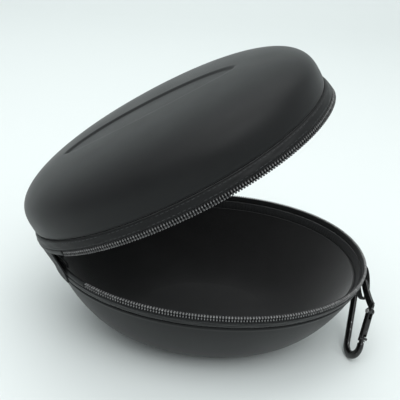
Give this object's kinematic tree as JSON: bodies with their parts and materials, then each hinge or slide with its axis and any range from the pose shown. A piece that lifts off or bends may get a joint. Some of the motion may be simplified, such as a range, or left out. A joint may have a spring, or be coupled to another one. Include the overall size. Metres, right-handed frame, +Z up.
{
  "type": "headphone carrying case",
  "caption": "Oval hard-shell clamshell carrying case with a zip round its rim, a sewn fabric hinge at one end and a carabiner on a webbing loop.",
  "frame": {"origin": "centre of the base's flat underside, where the case stands on a table", "axes": "+Z up, +X from the hinge end to the opening end, +Y across the case"},
  "size_m": [0.2313, 0.1686, 0.1918],
  "materials": {
    "shell_skin": "soft matt grained polyurethane skin on moulded foam",
    "lining": "brushed knit lining bonded to the foam",
    "binding": "ribbed binding tape",
    "zip_tape": "woven zip tape with a smooth coated face",
    "zip_coil": "nylon coil with a soft sheen",
    "hinge_fabric": "coated woven hinge strip",
    "webbing": "woven polyester webbing",
    "slider_metal": "black enamel",
    "carabiner_metal": "black glossy anodising, lightly worn",
    "pin_steel": "plain rivet steel"
  },
  "bodies": {
    "base": {"base_shell": "shell_skin", "base_lining": "lining", "base_hem": "binding", "base_zip_tape": "zip_tape", "base_zip_coil": "zip_coil", "base_hinge_web": "hinge_fabric", "base_hinge_facing": "hinge_fabric", "webbing_loop": "webbing"},
    "lid": {"lid_shell": "shell_skin", "lid_lining": "lining", "lid_hem": "binding", "lid_zip_tape": "zip_tape", "lid_zip_coil": "zip_coil", "lid_hinge_web": "hinge_fabric", "lid_hinge_facing": "hinge_fabric"},
    "slider": {"slider_body": "slider_metal", "slider_bail": "slider_metal"},
    "pull": {"pull_tab": "slider_metal"},
    "carabiner": {"carabiner_frame": "carabiner_metal", "gate_pin": "pin_steel", "nose_pin": "carabiner_metal"},
    "gate": {"carabiner_gate": "carabiner_metal"}
  },
  "joints": [
    {"name": "lid_hinge", "type": "hinge", "parent": "base", "child": "lid", "pos_m": [-0.11229, 0, 0.04587], "axis": [0, -1, 0], "range_deg": [-31.6, 58.4]},
    {"name": "zip_travel", "type": "hinge", "parent": "base", "child": "slider", "pos_m": [-0.00125, -0.03793, 0.0579], "axis": [0, 0, -1], "range_deg": [0, 18.85]},
    {"name": "pull_flip", "type": "hinge", "parent": "slider", "child": "pull", "pos_m": [-0.07157, 0.06664, 0.0579], "axis": [0.826, 0.5636, 0], "range_deg": [-8, 150]},
    {"name": "carabiner_swing", "type": "hinge", "parent": "base", "child": "carabiner", "pos_m": [0.10443, -0.00994, 0.04227], "axis": [0.3415, -0.7812, 0.5227], "range_deg": [-5, 16]},
    {"name": "gate_open", "type": "hinge", "parent": "carabiner", "child": "gate", "pos_m": [0.10605, -0.03356, 0.03338], "axis": [0.9266, 0.1867, -0.3264], "range_deg": [0, 24], "stiffness_Nm_per_rad": 0.02, "springref_deg": -22.92}
  ]
}
